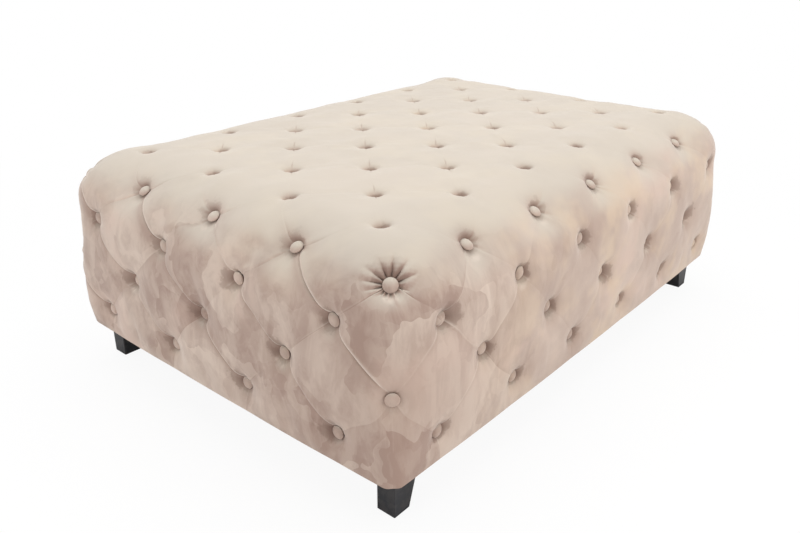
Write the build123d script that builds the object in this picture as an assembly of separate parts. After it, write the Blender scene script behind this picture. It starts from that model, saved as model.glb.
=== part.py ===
from build123d import *
import os

# Upholstered coffee table: a box frame on four wooden legs, padded with foam and
# wadding and covered in velvet, which covered buttons pull into diamonds.
# X runs along the length, Y across it, Z up from the floor. The front is -Y.

# Body, from crest to crest of the padding
length = 1200
width = 860
height = 440
hem_height = 90

# Tufting on the top: columns and rows of half a bay each
half_bays_long = 5
half_bays_wide = 3
top_margin_x = 130       # outermost top column to the end crest
top_margin_y = 137.5     # outermost top row to the front crest
top_tuft_depth = 18.5    # crest of the top to the tip of a button
# Tufting on the rounded top edges
edge_inset = 52
edge_drop = 44.4
corner_inset = 50
corner_drop = 50
# Tufting on the sides: three rows of buttons
side_tuft_depth = 14.4
first_row_drop = 116     # crest of the top to the first row
last_row_rise = 47       # hem to the last row
side_margin_x = 117      # outermost side column to the end crest
side_margin_y = 126.5
corner_tuft_inset = 26
# Roundings of the padded body
crest_edge_radius = 90
crest_corner_radius = 50
hem_tuck = 8             # the hem lies this far inside the crests
hem_corner_radius = 50
pleat_share = 0.62       # how far a pleat rises from button level to the crests
hem_fold_rise = 2        # bow of the straight fold below a last-row button
row_b_ease = 1.2         # crests that stand back, because their patches bulge on past them
hem_row_ease = 2.8
top_rim_ease = 0.9

# Covered buttons
button_radius = 11
button_dome = 4.5
button_back = 9.5        # depth of the conical back, down to its point
button_stub_radius = 3   # the point is cut off flat at this radius
seat_gap = 0.6           # point of the back to the seat of the dimple

# Soft layers
velvet = 2
wadding = 3
layer_gap = 0.3
side_foam = 9
top_foam = 50
foam_inset = 35          # crest of the cover to the face of the foam
top_foam_inset = 40
foam_edge_radius = 88
foam_corner_cut = 24
hem_return = 30          # velvet folded under the frame

# Frame
panel = 12
deck = 12
post = 40
rail_depth = 30
rail_height = 38
cross_rail_width = 38
cross_rail_height = 45
cross_rail_bays = 2.5    # half bays from the middle to a cross rail
dust_cover = 0.8
dust_cover_inset = 15    # frame face to the edge of the dust cover

# Legs
leg_inset_x = 51
leg_inset_y = 44
leg_foot_x = 34
leg_top_x = 60
leg_y = 36
leg_chamfer = 1
glide = 2
glide_radius = 11
glide_pin_radius = 1.2
glide_pin = 12

# Fasteners
bolt_radius = 4
bolt_length = 70
bolt_in_leg = 40
bolt_y = 24              # leg's outer face to the axis of the bolt
insert_radius = 6
insert_length = 25
screw_radius = 1.75
screw_head_radius = 3.5
screw_head = 3
screw_length = 38
panel_screw_rise = 45    # bottom of a panel to its lower screws in the posts
panel_screw_drop = 51    # underside of the deck to the upper ones
screw_stagger = 18
rail_screw_spacing = 260
deck_screw_spacing = 245
twine_radius = 0.8
twine_hole_radius = 1.1
wadding_hole_radius = 3
frame_hole_radius = 4
toggle_radius = 2.5
toggle_length = 18
nail_radius = 0.8
nail_length = 42
staple_crown = 10
staple_wire = 0.9
staple_leg = 6
staple_spacing = 95
staple_inset = 22        # frame face to the line of staples
leg_keepout = 18         # nearest staple to a leg
hole_clearance = 0.3
bolt_hole_spare = 6      # depth of the hole past the end of the bolt
overrun = 5

# Places worked out from the sizes above
end_x = length / 2
side_y = width / 2
pitch_x = (end_x - top_margin_x) / half_bays_long
pitch_y = (side_y - top_margin_y) / half_bays_wide
cross_rail_offset = cross_rail_bays * pitch_x
row_b = height - first_row_drop
row_d = hem_height + last_row_rise
row_c = (row_b + row_d) / 2
seat_depth = button_dome + button_back + seat_gap
stub_depth = button_dome + button_back * (1 - button_stub_radius / button_radius)
foam_x = end_x - foam_inset
foam_y = side_y - foam_inset
foam_top_z = height - top_foam_inset
frame_x = foam_x - side_foam
frame_y = foam_y - side_foam
frame_bottom = hem_height + velvet
deck_top = foam_top_z - top_foam
deck_bottom = deck_top - deck
inner_x = frame_x - panel
inner_y = frame_y - panel
post_x = inner_x - post / 2
post_y = inner_y - post / 2
leg_face_x = end_x - leg_inset_x
leg_face_y = side_y - leg_inset_y
leg_top = hem_height - dust_cover
bolt_x = leg_face_x - leg_top_x / 2
bolt_axis_y = leg_face_y - bolt_y
diagonal = 2 ** 0.5
corners = {(-1, -1): "front_left", (1, -1): "front_right", (-1, 1): "back_left", (1, 1): "back_right"}
across = (("front", -1), ("back", 1))
along = (("left", -1), ("right", 1))
sides = ("front", "back", "left", "right")
up = Vector(0, 0, 1)


def unit(x, y, z):
    return Vector(x, y, z).normalized()


# Buttons. A grid of half bays is folded over the body: columns to 5 and rows to 3
# lie on the top, column 6 and row 4 are the rounded edges, and the next three on
# each side are the rows down the sides. Each button has its zone, the tip of its
# dome and the direction that it faces.
edge_i = half_bays_long + 1
edge_j = half_bays_wide + 1
side_rows = {1: row_b, 2: row_c, 3: row_d}
side_ease = {1: row_b_ease, 2: 0, 3: hem_row_ease}
columns = range(-half_bays_long, half_bays_long + 1)
lines = range(-half_bays_wide, half_bays_wide + 1)


def side_column_x(i):
    return (end_x - side_margin_x) * i / half_bays_long if abs(i) == half_bays_long else pitch_x * i


def side_line_y(j):
    return (side_y - side_margin_y) * j / half_bays_wide if abs(j) == half_bays_wide else pitch_y * j


def button_places():
    places = {}
    for i in columns:
        for j in lines:
            if (i + j) % 2 == 0:
                places[i, j] = ("top", Vector(pitch_x * i, pitch_y * j, height - top_tuft_depth), up)
        for zone, s in across:
            if (i + edge_j) % 2 == 0:
                tip = Vector(pitch_x * i, s * (side_y - edge_inset), height - edge_drop)
                places[i, s * edge_j] = ("edge", tip, unit(0, s, 1))
            for row, z in side_rows.items():
                if (i + edge_j + row) % 2 == 0:
                    tip = Vector(side_column_x(i), s * (side_y - side_tuft_depth), z)
                    places[i, s * (edge_j + row)] = (zone, tip, unit(0, s, 0))
    for j in lines:
        for zone, s in along:
            if (j + edge_i) % 2 == 0:
                tip = Vector(s * (end_x - edge_inset), pitch_y * j, height - edge_drop)
                places[s * edge_i, j] = ("edge", tip, unit(s, 0, 1))
            for row, z in side_rows.items():
                if (j + edge_i + row) % 2 == 0:
                    tip = Vector(s * (end_x - side_tuft_depth), side_line_y(j), z)
                    places[s * (edge_i + row), j] = (zone, tip, unit(s, 0, 0))
    for sx, sy in corners:
        tip = Vector(sx * (end_x - corner_inset), sy * (side_y - corner_inset), height - corner_drop)
        places[sx * edge_i, sy * edge_j] = ("edge", tip, unit(sx, sy, 1))
        tip = Vector(sx * (end_x - corner_tuft_inset), sy * (side_y - corner_tuft_inset), row_c)
        places[sx * edge_i, sy * (edge_j + 2)] = ("corner", tip, unit(sx, sy, 0))
    return places


buttons = button_places()


# The seat of each dimple and the crest of each diamond. A corner's places are
# reached from the front's columns and from the end's lines alike.
def seats_and_crests():
    seat = {key: tip - out * seat_depth for key, (zone, tip, out) in buttons.items()}
    crest = {}
    edge_cut = crest_edge_radius * (1 - 1 / diagonal)
    corner_cut = crest_corner_radius * (1 - 1 / diagonal)
    for i in columns:
        for j in lines:
            rim = abs(i) == half_bays_long or abs(j) == half_bays_wide
            crest[i, j] = Vector(pitch_x * i, pitch_y * j, height - (top_rim_ease if rim else 0))
        for s in (-1, 1):
            crest[i, s * edge_j] = Vector(pitch_x * i, s * (side_y - edge_cut), height - edge_cut)
            for row, z in side_rows.items():
                crest[i, s * (edge_j + row)] = Vector(pitch_x * i, s * (side_y - side_ease[row]), z)
    for j in lines:
        for s in (-1, 1):
            crest[s * edge_i, j] = Vector(s * (end_x - edge_cut), pitch_y * j, height - edge_cut)
            for row, z in side_rows.items():
                crest[s * (edge_i + row), j] = Vector(s * (end_x - side_ease[row]), pitch_y * j, z)
    for sx, sy in corners:
        seat[sx * (edge_i + 2), sy * edge_j] = seat[sx * edge_i, sy * (edge_j + 2)]
        for row, z in side_rows.items():
            corner = Vector(sx * (end_x - corner_cut), sy * (side_y - corner_cut), z)
            crest[sx * edge_i, sy * (edge_j + row)] = corner
            crest[sx * (edge_i + row), sy * edge_j] = corner
    return seat, crest


# The tufted skin: one curved patch for each diamond, two for each panel between
# the last row and the hem, and the closed line of the hem.
def tufted_skin():
    seat, crest = seats_and_crests()
    hem_x = end_x - hem_tuck
    hem_y = side_y - hem_tuck
    corner_cut = hem_corner_radius * (1 - 1 / diagonal)
    faces = []
    hem = []

    def pleat(a, b):
        middle = (seat[a] + seat[b]) / 2
        beside = (crest[a[0], b[1]] + crest[b[0], a[1]]) / 2
        return middle * (1 - 2 * pleat_share) + beside * (2 * pleat_share)

    def diamond(a, b, c, d, ab, bc, cd, da, top):
        corner_sum = seat[a] + seat[b] + seat[c] + seat[d]
        middle = top * 4 - corner_sum / 4 - (ab + bc + cd + da) / 2
        net = [[seat[a], ab, seat[b]], [da, middle, bc], [seat[d], cd, seat[c]]]
        faces.append(Face.make_bezier_surface(net))

    def full_diamond(i, j):
        ring = [(i - 1, j), (i, j - 1), (i + 1, j), (i, j + 1)]
        folds = [pleat(ring[n], ring[(n + 1) % 4]) for n in range(4)]
        diamond(*ring, *folds, crest[i, j])

    def below(key):
        if abs(key[1]) > edge_j:
            return Vector(seat[key].X, hem_y if key[1] > 0 else -hem_y, hem_height)
        return Vector(hem_x if key[0] > 0 else -hem_x, seat[key].Y, hem_height)

    def hem_panel(upper, lower, top, low_upper, low_middle):
        low_lower = below(lower)
        ridge = top * 2 - (seat[upper] + low_upper) / 2
        middle = ridge + (low_middle - low_upper)
        fold = seat[lower] + up * ((hem_height - seat[lower].Z) / 2) + buttons[lower][2] * hem_fold_rise
        upper_row = [seat[upper], pleat(upper, lower), seat[lower]]
        lower_row = [low_upper, low_middle, low_lower]
        faces.append(Face.make_bezier_surface([upper_row, [ridge, middle, fold], lower_row]))
        hem.append(Edge.make_bezier(low_lower, low_middle, low_upper))

    def flat_panels(upper, lowers, top):
        for lower in lowers:
            hem_panel(upper, lower, top, below(upper), (below(upper) + below(lower)) / 2)

    for i in columns:
        for j in range(-edge_j - 2, edge_j + 3):
            if (i + j) % 2 == 1:
                full_diamond(i, j)
        if (i + edge_j) % 2 == 0:
            for s in (-1, 1):
                lowers = [(i + step, s * (edge_j + 3)) for step in (-1, 1)]
                flat_panels((i, s * (edge_j + 2)), lowers, crest[i, s * (edge_j + 3)])
    for j in lines:
        for s in (-1, 1):
            for i in (edge_i, edge_i + 1, edge_i + 2):
                if (i + j) % 2 == 1:
                    full_diamond(s * i, j)
            if (j + edge_i) % 2 == 0:
                lowers = [(s * (edge_i + 3), j + step) for step in (-1, 1)]
                flat_panels((s * (edge_i + 2), j), lowers, crest[s * (edge_i + 3), j])
    for sx, sy in corners:
        high = (sx * edge_i, sy * edge_j)
        side = (sx * half_bays_long, sy * (edge_j + 1))
        end = (sx * (edge_i + 1), sy * half_bays_wide)
        low_side = (sx * edge_i, sy * (edge_j + 2))
        low_end = (sx * (edge_i + 2), sy * edge_j)
        diamond(high, side, low_side, end, pleat(high, side), pleat(side, low_side), pleat(low_end, end),
                pleat(end, high), crest[sx * edge_i, sy * (edge_j + 1)])
        top = crest[sx * edge_i, sy * (edge_j + 3)]
        tip = Vector(sx * (hem_x - corner_cut), sy * (hem_y - corner_cut), hem_height)
        side_middle = Vector(sx * (hem_x - 2 * corner_cut), sy * hem_y, hem_height)
        end_middle = Vector(sx * hem_x, sy * (hem_y - 2 * corner_cut), hem_height)
        hem_panel(low_side, (sx * half_bays_long, sy * (edge_j + 3)), top, tip, side_middle)
        hem_panel(low_end, (sx * (edge_i + 3), sy * half_bays_wide), top, tip, end_middle)
    return faces, Wire(hem)


# The outside of the padded body as one closed solid
def tufted_block():
    faces, hem = tufted_skin()
    return Solid(Shell(faces + [Face(hem)]))


# The plain block inside the cover, before it is cut into its layers
def foam_block(grow):
    radius = foam_edge_radius + grow
    cut = foam_corner_cut + grow * (2 - diagonal)
    top = foam_top_z + grow
    tall = top - frame_bottom
    plan = Rectangle(2 * (foam_x + grow), 2 * (foam_y + grow))
    plan = chamfer(plan.vertices(), cut)
    block = Pos(0, 0, frame_bottom) * extrude(plan, tall)
    for plane, reach, depth in ((Plane.XZ, foam_x, foam_y), (Plane.YZ, foam_y, foam_x)):
        outline = plane * Pos(0, frame_bottom + tall / 2) * Rectangle(2 * (reach + grow), tall)
        outline = fillet(outline.vertices().group_by(Axis.Z)[-1], radius)
        block &= extrude(outline, depth + overrun, both=True)
    return block


def slab(x, y, z, size_x, size_y, size_z):
    return Pos(x, y, z) * Box(size_x, size_y, size_z, align=(Align.CENTER, Align.CENTER, Align.MIN))


def rod(start, direction, radius, reach):
    upright = Cylinder(radius, reach, align=(Align.CENTER, Align.CENTER, Align.MIN))
    return Plane(origin=start, z_dir=direction) * upright


def group(shapes):
    return Compound([solid for shape in shapes for solid in shape.solids()])


def zone_buttons(*zones):
    return [spot for spot in buttons.values() if spot[0] in zones]


# A covered button: domed front, conical back that fits its dimple, flat stub
def button_solid():
    sphere = (button_radius ** 2 + button_dome ** 2) / (2 * button_dome)
    halfway = button_radius / 2
    bulge = sphere - (sphere ** 2 - halfway ** 2) ** 0.5
    rim = (button_radius, -button_dome)
    stub = (button_stub_radius, -stub_depth)
    foot = (0, -stub_depth)
    dome = ThreePointArc((0, 0), (halfway, -bulge), rim)
    outline = [dome, Line(rim, stub), Line(stub, foot), Line(foot, (0, 0))]
    return revolve(Plane.XZ * make_face(Wire(outline)), Axis.Z)


def button_group(zone):
    one = button_solid()
    return group([Plane(origin=tip, z_dir=out) * one for name, tip, out in zone_buttons(zone)])


# Depth from a button's tip to the axis of the toggle that holds its twine
def anchor_depth(zone, tip, out):
    if zone in ("top", "edge"):
        return (tip.Z - deck_bottom + toggle_radius) / out.Z
    if zone in ("front", "back"):
        return abs(tip.Y) - inner_y + toggle_radius
    return abs(tip.X) - inner_x + toggle_radius


def twine(zone, tip, out):
    reach = anchor_depth(zone, tip, out) - toggle_radius - stub_depth
    return rod(tip - out * stub_depth, -out, twine_radius, reach)


# A toggle lies flat across the hole behind the wood
def toggle(zone, tip, out):
    lie = out.cross(up)
    lie = lie.normalized() if lie.length > 0 else unit(1, 0, 0)
    middle = tip - out * anchor_depth(zone, tip, out)
    return rod(middle - lie * (toggle_length / 2), lie, toggle_radius, toggle_length)


def nail(zone, tip, out):
    return rod(tip - out * stub_depth, -out, nail_radius, nail_length)


# Holes behind the buttons of some zones, for twine or for a nail
def holes(radius, *zones):
    tools = []
    for zone, tip, out in zone_buttons(*zones):
        reach = nail_length + stub_depth if zone == "corner" else anchor_depth(zone, tip, out)
        tools.append(rod(tip, -out, radius, reach + overrun))
    return tools


# A screw driven from the face of a board, its countersunk head flush
def screw(start, direction):
    head = Pos(0, 0, screw_head / 2) * Cone(screw_head_radius, screw_radius, screw_head)
    return Plane(origin=start, z_dir=direction) * head + rod(start, direction, screw_radius, screw_length)


def deck_screw_set():
    spots = [(sx * post_x, sy * post_y) for sx, sy in corners]
    spots += [(s * cross_rail_offset, n * deck_screw_spacing) for s in (-1, 1) for n in (-1, 0, 1)]
    return [screw(Vector(x, y, deck_top), -up) for x, y in spots]


# Screws of one panel, into its two posts and into the rail at its foot
def panel_screw_set(side):
    place = dict(across + along)[side]
    post_rises = (frame_bottom + panel_screw_rise, deck_bottom - panel_screw_drop)
    rail_rise = frame_bottom + rail_height / 2
    if side in dict(across):
        spots = [(s * post_x, rise) for s in (-1, 1) for rise in post_rises]
        spots += [(n * rail_screw_spacing, rail_rise) for n in (-1, 0, 1)]
        return [screw(Vector(x, place * frame_y, z), Vector(0, -place, 0)) for x, z in spots]
    spots = [(s * post_y, rise + screw_stagger) for s in (-1, 1) for rise in post_rises]
    spots += [(n * rail_screw_spacing, rail_rise) for n in (-1, 0, 1)]
    return [screw(Vector(place * frame_x, y, z), Vector(-place, 0, 0)) for y, z in spots]


def staple():
    wire = Box(staple_crown, staple_wire, staple_wire, align=(Align.CENTER, Align.CENTER, Align.MAX))
    for s in (-1, 1):
        wire += slab(s * (staple_crown - staple_wire) / 2, 0, 0, staple_wire, staple_wire, staple_leg)
    return wire


# Staples under the frame, along all four sides between the legs
def staple_set():
    one = staple()
    placed = []
    long_line = (leg_face_x - leg_top_x - leg_keepout, frame_y - staple_inset, 0)
    end_line = (leg_face_y - leg_y - leg_keepout, frame_x - staple_inset, 90)
    for reach, line, turn in (long_line, end_line):
        count = round(2 * reach / staple_spacing)
        for n in range(count + 1):
            for s in (-1, 1):
                place = Pos(2 * reach * n / count - reach, s * line, leg_top)
                placed.append(Rot(0, 0, turn) * place * one)
    return placed


def bolt(sx, sy):
    return rod(Vector(sx * bolt_x, sy * bolt_axis_y, leg_top - bolt_in_leg), up, bolt_radius, bolt_length)


def bolt_hole(sx, sy):
    start = Vector(sx * bolt_x, sy * bolt_axis_y, leg_top - bolt_in_leg)
    return rod(start, up, bolt_radius + hole_clearance, bolt_length + bolt_hole_spare)


def insert(sx, sy):
    sleeve = rod(Vector(sx * bolt_x, sy * bolt_axis_y, frame_bottom), up, insert_radius, insert_length)
    return sleeve - bolt(sx, sy)


# Box frame: deck, panels, posts and rails, drilled for what passes through them
def frame_nodes(deck_screws, panel_screws, nails, staples):
    nodes = {}
    tall = deck_bottom - frame_bottom
    board = slab(0, 0, deck_bottom, 2 * frame_x, 2 * frame_y, deck)
    nodes["deck_board"] = board - (deck_screws + holes(frame_hole_radius, "top", "edge"))
    for side, s in across:
        board = slab(0, s * (inner_y + panel / 2), frame_bottom, 2 * frame_x, panel, tall)
        nodes["panel_" + side] = board
        rail_y = s * (inner_y - rail_depth / 2)
        rail = slab(0, rail_y, frame_bottom, 2 * post_x - post, rail_depth, rail_height)
        nodes["bottom_rail_" + side] = rail
    for side, s in along:
        board = slab(s * (inner_x + panel / 2), 0, frame_bottom, panel, 2 * inner_y, tall)
        nodes["panel_" + side] = board
        rail_x = s * (inner_x - rail_depth / 2)
        rail = slab(rail_x, 0, frame_bottom, rail_depth, 2 * post_y - post, rail_height)
        nodes["bottom_rail_" + side] = rail
        low = deck_bottom - cross_rail_height
        rail = slab(s * cross_rail_offset, 0, low, cross_rail_width, 2 * inner_y, cross_rail_height)
        nodes["cross_rail_" + side] = rail - deck_screws
    for side in sides:
        nodes["panel_" + side] -= panel_screws[side] + nails + staples + holes(frame_hole_radius, side)
        nodes["bottom_rail_" + side] -= panel_screws[side] + staples
    nodes["bottom_cross_rail"] = slab(
        0, 0, frame_bottom, cross_rail_width, 2 * (inner_y - rail_depth), rail_height)
    every_screw = deck_screws + [one for side in sides for one in panel_screws[side]]
    for (sx, sy), name in corners.items():
        square = slab(sx * post_x, sy * post_y, frame_bottom, post, post, tall)
        nodes["corner_post_" + name] = square - ([bolt_hole(sx, sy), insert(sx, sy)] + nails + every_screw)
    return nodes


# Velvet cover with its fold under the frame, wadding, and the foam top and walls
def soft_nodes(staples):
    nodes = {}
    zones = ("top", "edge", "corner") + sides
    bolt_holes = [bolt_hole(sx, sy) for sx, sy in corners]
    fold_window = slab(0, 0, 0, 2 * (frame_x - hem_return), 2 * (frame_y - hem_return), height / 2)
    cover = tufted_block() - foam_block(wadding + layer_gap) - fold_window
    nodes["velvet_cover"] = cover - (holes(twine_hole_radius, *zones) + bolt_holes + staples)
    snips = holes(wadding_hole_radius, *zones)
    nodes["wadding"] = foam_block(wadding) - foam_block(layer_gap) - snips
    foam = foam_block(0)
    above_deck = slab(0, 0, deck_top, 2 * end_x, 2 * side_y, height)
    nodes["foam_top"] = (foam & above_deck) - holes(twine_hole_radius, "top", "edge")
    wall = foam - above_deck - slab(0, 0, 0, 2 * frame_x, 2 * frame_y, height)
    for side, s in across:
        strip = slab(0, s * (frame_y + side_y / 2), 0, 2 * end_x, side_y, height)
        nodes["foam_" + side] = (wall & strip) - holes(twine_hole_radius, side, "corner")
    for side, s in along:
        strip = slab(s * (frame_x + end_x / 2), 0, 0, end_x, 2 * frame_y, height)
        nodes["foam_" + side] = (wall & strip) - holes(twine_hole_radius, side)
    return nodes


# Covered buttons, and the twine and toggles that hold them
def button_nodes():
    nodes = {"buttons_corner": button_group("corner")}
    for zone in ("top", "edge") + sides:
        nodes["buttons_" + zone] = button_group(zone)
        nodes["twine_" + zone] = group([twine(*spot) for spot in zone_buttons(zone)])
    nodes["toggles_deck"] = group([toggle(*spot) for spot in zone_buttons("top", "edge")])
    nodes["toggles_panels"] = group([toggle(*spot) for spot in zone_buttons(*sides)])
    return nodes


def dust_cover_sheet(staples):
    reach_x = frame_x - dust_cover_inset
    reach_y = frame_y - dust_cover_inset
    sheet = slab(0, 0, leg_top, 2 * reach_x, 2 * reach_y, dust_cover)
    return sheet - ([bolt_hole(sx, sy) for sx, sy in corners] + staples)


# The leg at the back right: upright outer faces, one tapered inner face
def leg():
    foot = leg_face_x - leg_foot_x
    top = leg_face_x - leg_top_x
    outline = Polyline((leg_face_x, glide), (leg_face_x, leg_top), (top, leg_top), (foot, glide), close=True)
    block = Pos(0, leg_face_y, 0) * extrude(Plane.XZ * make_face(outline), leg_y)
    return chamfer(block.edges().filter_by(Axis.Z), leg_chamfer)


def leg_glide():
    foot = Vector(leg_face_x - leg_foot_x / 2, leg_face_y - leg_y / 2, 0)
    return rod(foot, up, glide_radius, glide) + rod(foot, up, glide_pin_radius, glide + glide_pin)


def leg_nodes():
    nodes = {}
    for (sx, sy), name in corners.items():
        pair = [leg() - leg_glide() - bolt(1, 1), leg_glide()]
        if sx < 0:
            pair = [mirror(piece, Plane.YZ) for piece in pair]
        if sy < 0:
            pair = [mirror(piece, Plane.XZ) for piece in pair]
        nodes["leg_" + name], nodes["leg_glide_" + name] = pair
    return nodes


def table_nodes():
    deck_screws = deck_screw_set()
    panel_screws = {side: panel_screw_set(side) for side in sides}
    nails = [nail(*spot) for spot in zone_buttons("corner")]
    staples = staple_set()
    nodes = frame_nodes(deck_screws, panel_screws, nails, staples)
    nodes.update(soft_nodes(staples))
    nodes.update(button_nodes())
    nodes.update(leg_nodes())
    nodes["dust_cover"] = dust_cover_sheet(staples)
    nodes["hem_staples"] = group(staples)
    nodes["corner_nails"] = group(nails)
    nodes["deck_screws"] = group(deck_screws)
    nodes["panel_screws"] = group([one for side in sides for one in panel_screws[side]])
    nodes["hanger_bolts"] = group([bolt(sx, sy) for sx, sy in corners])
    nodes["threaded_inserts"] = group([insert(sx, sy) for sx, sy in corners])
    return nodes


os.makedirs("parts", exist_ok=True)
for node, shape in table_nodes().items():
    export_step(shape, "parts/" + node + ".step")
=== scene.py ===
import bpy
import bmesh
import math
import numpy as np
from mathutils import Matrix, Vector
from mathutils.kdtree import KDTree


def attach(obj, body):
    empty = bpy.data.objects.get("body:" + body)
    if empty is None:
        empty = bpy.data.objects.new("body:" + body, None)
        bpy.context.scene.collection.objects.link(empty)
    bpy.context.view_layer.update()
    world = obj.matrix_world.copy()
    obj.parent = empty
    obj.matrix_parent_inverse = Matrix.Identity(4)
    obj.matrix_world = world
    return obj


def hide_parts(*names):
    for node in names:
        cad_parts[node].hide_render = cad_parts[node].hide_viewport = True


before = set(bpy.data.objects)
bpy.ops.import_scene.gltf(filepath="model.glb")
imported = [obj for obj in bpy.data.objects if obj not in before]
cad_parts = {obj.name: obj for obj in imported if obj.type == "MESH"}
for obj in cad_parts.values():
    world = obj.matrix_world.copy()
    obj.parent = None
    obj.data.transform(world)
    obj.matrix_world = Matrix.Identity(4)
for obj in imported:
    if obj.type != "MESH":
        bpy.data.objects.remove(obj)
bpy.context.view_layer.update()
bpy.ops.object.select_all(action="DESELECT")

# The padded body, in metres. Columns and rows count half bays, as the buttons do.
body = {
    "halfLength": 0.600, "halfWidth": 0.430, "top": 0.440, "hem": 0.090,
    "columns": 5, "rows": 3, "topColumn": 0.470, "topRow": 0.2925,
    "sideColumn": 0.483, "sideRow": 0.3035,
    "rowHeights": (0.440, 0.324, 0.2305, 0.137, 0.090),
    "edgeRound": 0.140, "nearCornerRound": 0.097, "otherCornerRound": 0.092, "otherPlanRound": 0.125,
    "nearUpright": 0.060, "otherUpright": 0.080, "nearHemRound": 0.032, "otherHemRound": 0.066,
    "hemTuck": 0.008, "cornerTuck": 0.013, "cornerTuckHeight": 0.050,
    "topCrown": 0.007, "topSag": 0.004, "sideCrown": 0.006,
    # Heights at which a blend starts, and how far up it takes
    "uprightBlend": (0.09, 0.13), "planBlend": (0.20, 0.14), "crownBlend": (0.30, 0.14), "calmBlend": (0.25, 0.12),
}
# Where each button's dome tops out, below the crest it is pulled into
buttonPlaces = {
    "topDepth": 0.0185, "edgeInset": 0.052, "edgeDrop": 0.0444,
    "cornerInset": 0.050, "sideDepth": 0.0144, "cornerTuft": 0.026,
}
edgeColumn = body["columns"] + 1
edgeRow = body["rows"] + 1


def placeButtons():
    spots = {}
    long, wide, top = body["halfLength"], body["halfWidth"], body["top"]
    heights = body["rowHeights"]
    stepX, stepY = body["topColumn"] / body["columns"], body["topRow"] / body["rows"]

    def along(step, outer, last, n):
        return math.copysign(outer, n) if abs(n) == last else step * n

    for i in range(-body["columns"], edgeColumn):
        for j in range(-body["rows"], edgeRow):
            if (i + j) % 2 == 0:
                spots[i, j] = ("top", (stepX * i, stepY * j, top - buttonPlaces["topDepth"]), (0, 0, 1))
    for s, front, end in ((-1, "front", "left"), (1, "back", "right")):
        for i in range(-body["columns"], edgeColumn):
            if (i + edgeRow) % 2 == 0:
                spots[i, s * edgeRow] = ("edge", (stepX * i, s * (wide - buttonPlaces["edgeInset"]),
                                                  top - buttonPlaces["edgeDrop"]), (0, s, 1))
            for down in (1, 2, 3):
                if (i + edgeRow + down) % 2 == 0:
                    x = along(stepX, body["sideColumn"], body["columns"], i)
                    spots[i, s * (edgeRow + down)] = (
                        front, (x, s * (wide - buttonPlaces["sideDepth"]), heights[down]), (0, s, 0))
        for j in range(-body["rows"], edgeRow):
            if (j + edgeColumn) % 2 == 0:
                spots[s * edgeColumn, j] = ("edge", (s * (long - buttonPlaces["edgeInset"]), stepY * j,
                                                     top - buttonPlaces["edgeDrop"]), (s, 0, 1))
            for down in (1, 2, 3):
                if (j + edgeColumn + down) % 2 == 0:
                    y = along(stepY, body["sideRow"], body["rows"], j)
                    spots[s * (edgeColumn + down), j] = (
                        end, (s * (long - buttonPlaces["sideDepth"]), y, heights[down]), (s, 0, 0))
        for t in (-1, 1):
            high, low = buttonPlaces["cornerInset"], buttonPlaces["cornerTuft"]
            spots[s * edgeColumn, t * edgeRow] = (
                "edge", (s * (long - high), t * (wide - high), top - high), (s, t, 1))
            spots[s * edgeColumn, t * (edgeRow + 2)] = (
                "corner", (s * (long - low), t * (wide - low), heights[2]), (s, t, 0))
    return spots


spots = placeButtons()
print("buttons placed:", len(spots))


def smooth(t):
    t = np.clip(t, 0, 1)
    return t * t * (3 - 2 * t)


# From 0 to 1 as the value goes on past the start by the width
def rising(value, start, width):
    return smooth((value - start) / width)


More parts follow.
